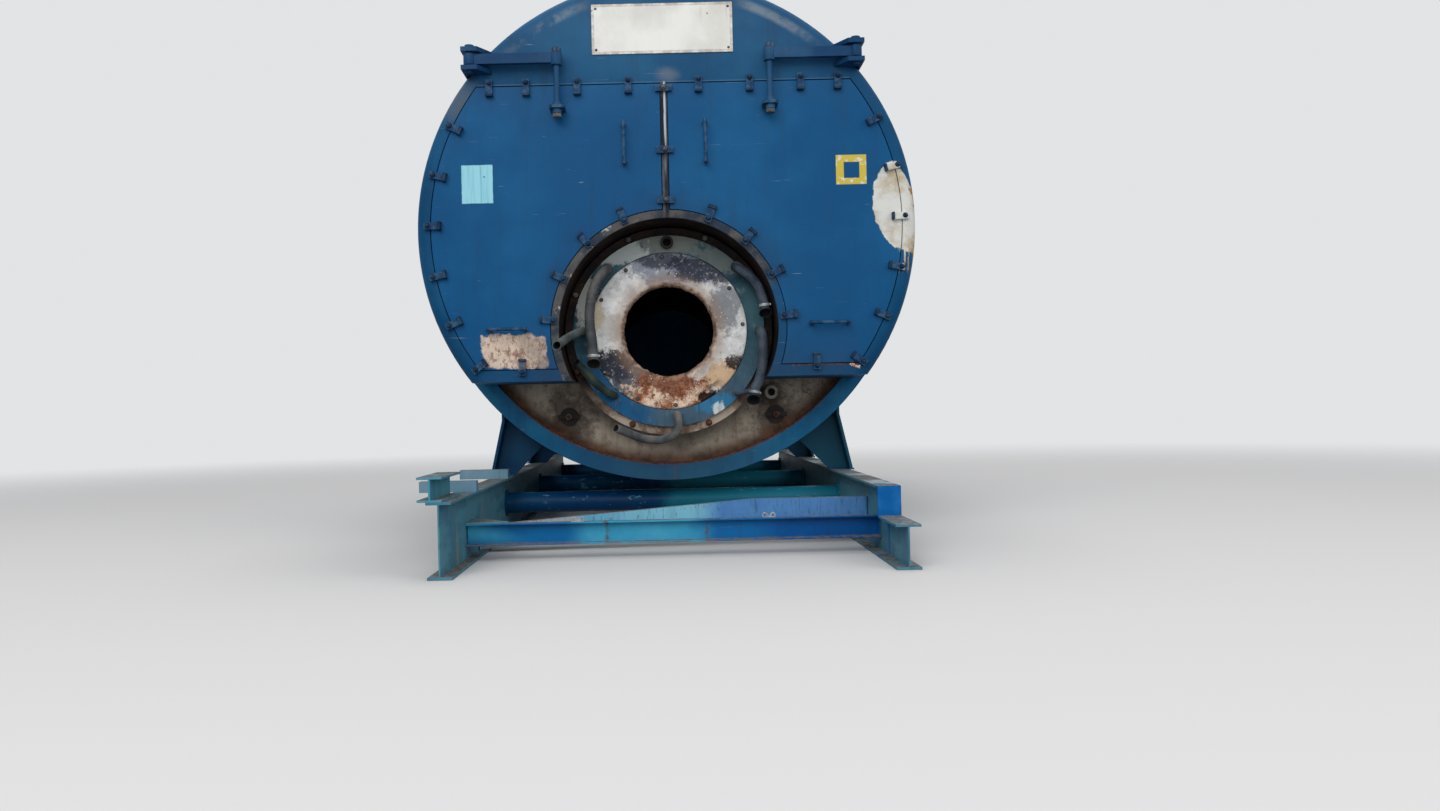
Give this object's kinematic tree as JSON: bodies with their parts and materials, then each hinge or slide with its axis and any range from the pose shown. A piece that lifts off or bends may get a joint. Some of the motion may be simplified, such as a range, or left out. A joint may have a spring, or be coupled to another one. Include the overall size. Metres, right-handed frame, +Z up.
{
  "type": "industrial boiler",
  "caption": "Horizontal fire-tube boiler drum on a beam skid, with an arched front smokebox closed by davit-hung door leaves and an open furnace throat.",
  "frame": {"origin": "bottom centre of the whole boiler's bounding box, on the floor", "axes": "+X to the right seen from the front, +Y from the doors to the back along the drum, +Z up"},
  "size_m": [2.5958, 5.87, 3.037],
  "materials": {
    "blue_paint": "semi-gloss, worn",
    "dark_blue_paint": "satin, worn",
    "teal_paint": "satin, scratched",
    "pale_blue_paint": "matt, scratched",
    "bare_steel": "dull",
    "rusty_steel": "rusty, matt",
    "grey_sheet": "dusty, stained",
    "refractory": "burnt, matt",
    "white_paint": "satin"
  },
  "bodies": {
    "boiler": {"pressure_shell": "bare_steel", "jacket": "blue_paint", "front_ring": "blue_paint", "rear_ring": "blue_paint", "front_tube_sheet": "grey_sheet", "rear_tube_sheet": "grey_sheet", "furnace_tube": "bare_steel", "burner_flange": "rusty_steel", "burner_ring": "blue_paint", "throat_refractory": "refractory", "smokebox_wrapper": "dark_blue_paint", "smokebox_frame": "blue_paint", "sign_plate": "white_paint", "left_davit_bracket": "blue_paint", "right_davit_bracket": "blue_paint", "upper_left_pipe": "teal_paint", "left_branch_pipe": "teal_paint", "lower_left_pipe": "teal_paint", "lower_middle_pipe": "teal_paint", "upper_right_pipe": "teal_paint", "lower_right_pipe": "teal_paint", "front_nipple": "bare_steel", "left_handhole": "rusty_steel", "right_handhole": "rusty_steel", "left_beam": "blue_paint", "right_beam": "blue_paint", "front_channel": "teal_paint", "bent_channel": "pale_blue_paint", "front_cross_pipe": "teal_paint", "middle_cross_pipe": "teal_paint", "rear_cross_pipe": "teal_paint", "front_left_leg": "blue_paint", "front_right_leg": "blue_paint", "middle_left_leg": "blue_paint", "middle_right_leg": "blue_paint", "rear_left_leg": "blue_paint", "rear_right_leg": "blue_paint", "stub_beam": "teal_paint", "front_outrigger_bar": "pale_blue_paint", "rear_outrigger_bar": "pale_blue_paint", "rear_smokebox": "dark_blue_paint", "rear_cover": "blue_paint", "steam_nozzle": "blue_paint", "manway": "blue_paint", "manway_cover": "blue_paint", "safety_nozzle": "blue_paint", "flue_outlet": "dark_blue_paint", "front_lifting_lug": "blue_paint", "rear_lifting_lug": "blue_paint"},
    "left_davit": {"left_davit_arm": "blue_paint"},
    "left_door": {"left_leaf": "dark_blue_paint", "left_hanger_rod": "bare_steel"},
    "right_davit": {"right_davit_arm": "blue_paint"},
    "right_door": {"right_leaf": "dark_blue_paint", "right_hanger_rod": "bare_steel"}
  },
  "joints": [
    {"name": "left_davit_hinge", "type": "hinge", "parent": "boiler", "child": "left_davit", "pos_m": [-0.955, -1.91, 2.41415], "axis": [0, 0, -1], "range_deg": [0, 100]},
    {"name": "left_door_swivel", "type": "hinge", "parent": "left_davit", "child": "left_door", "pos_m": [-0.527, -1.91, 2.41415], "axis": [0, 0, -1], "range_deg": [-100, 0]},
    {"name": "right_davit_hinge", "type": "hinge", "parent": "boiler", "child": "right_davit", "pos_m": [0.955, -1.91, 2.41415], "axis": [0, 0, 1], "range_deg": [0, 100]},
    {"name": "right_door_swivel", "type": "hinge", "parent": "right_davit", "child": "right_door", "pos_m": [0.527, -1.91, 2.41415], "axis": [0, 0, 1], "range_deg": [-100, 0]}
  ],
  "couplings": [
    {"joint": "left_door_swivel", "follows": "left_davit_hinge", "ratio": -1},
    {"joint": "right_door_swivel", "follows": "right_davit_hinge", "ratio": -1}
  ]
}
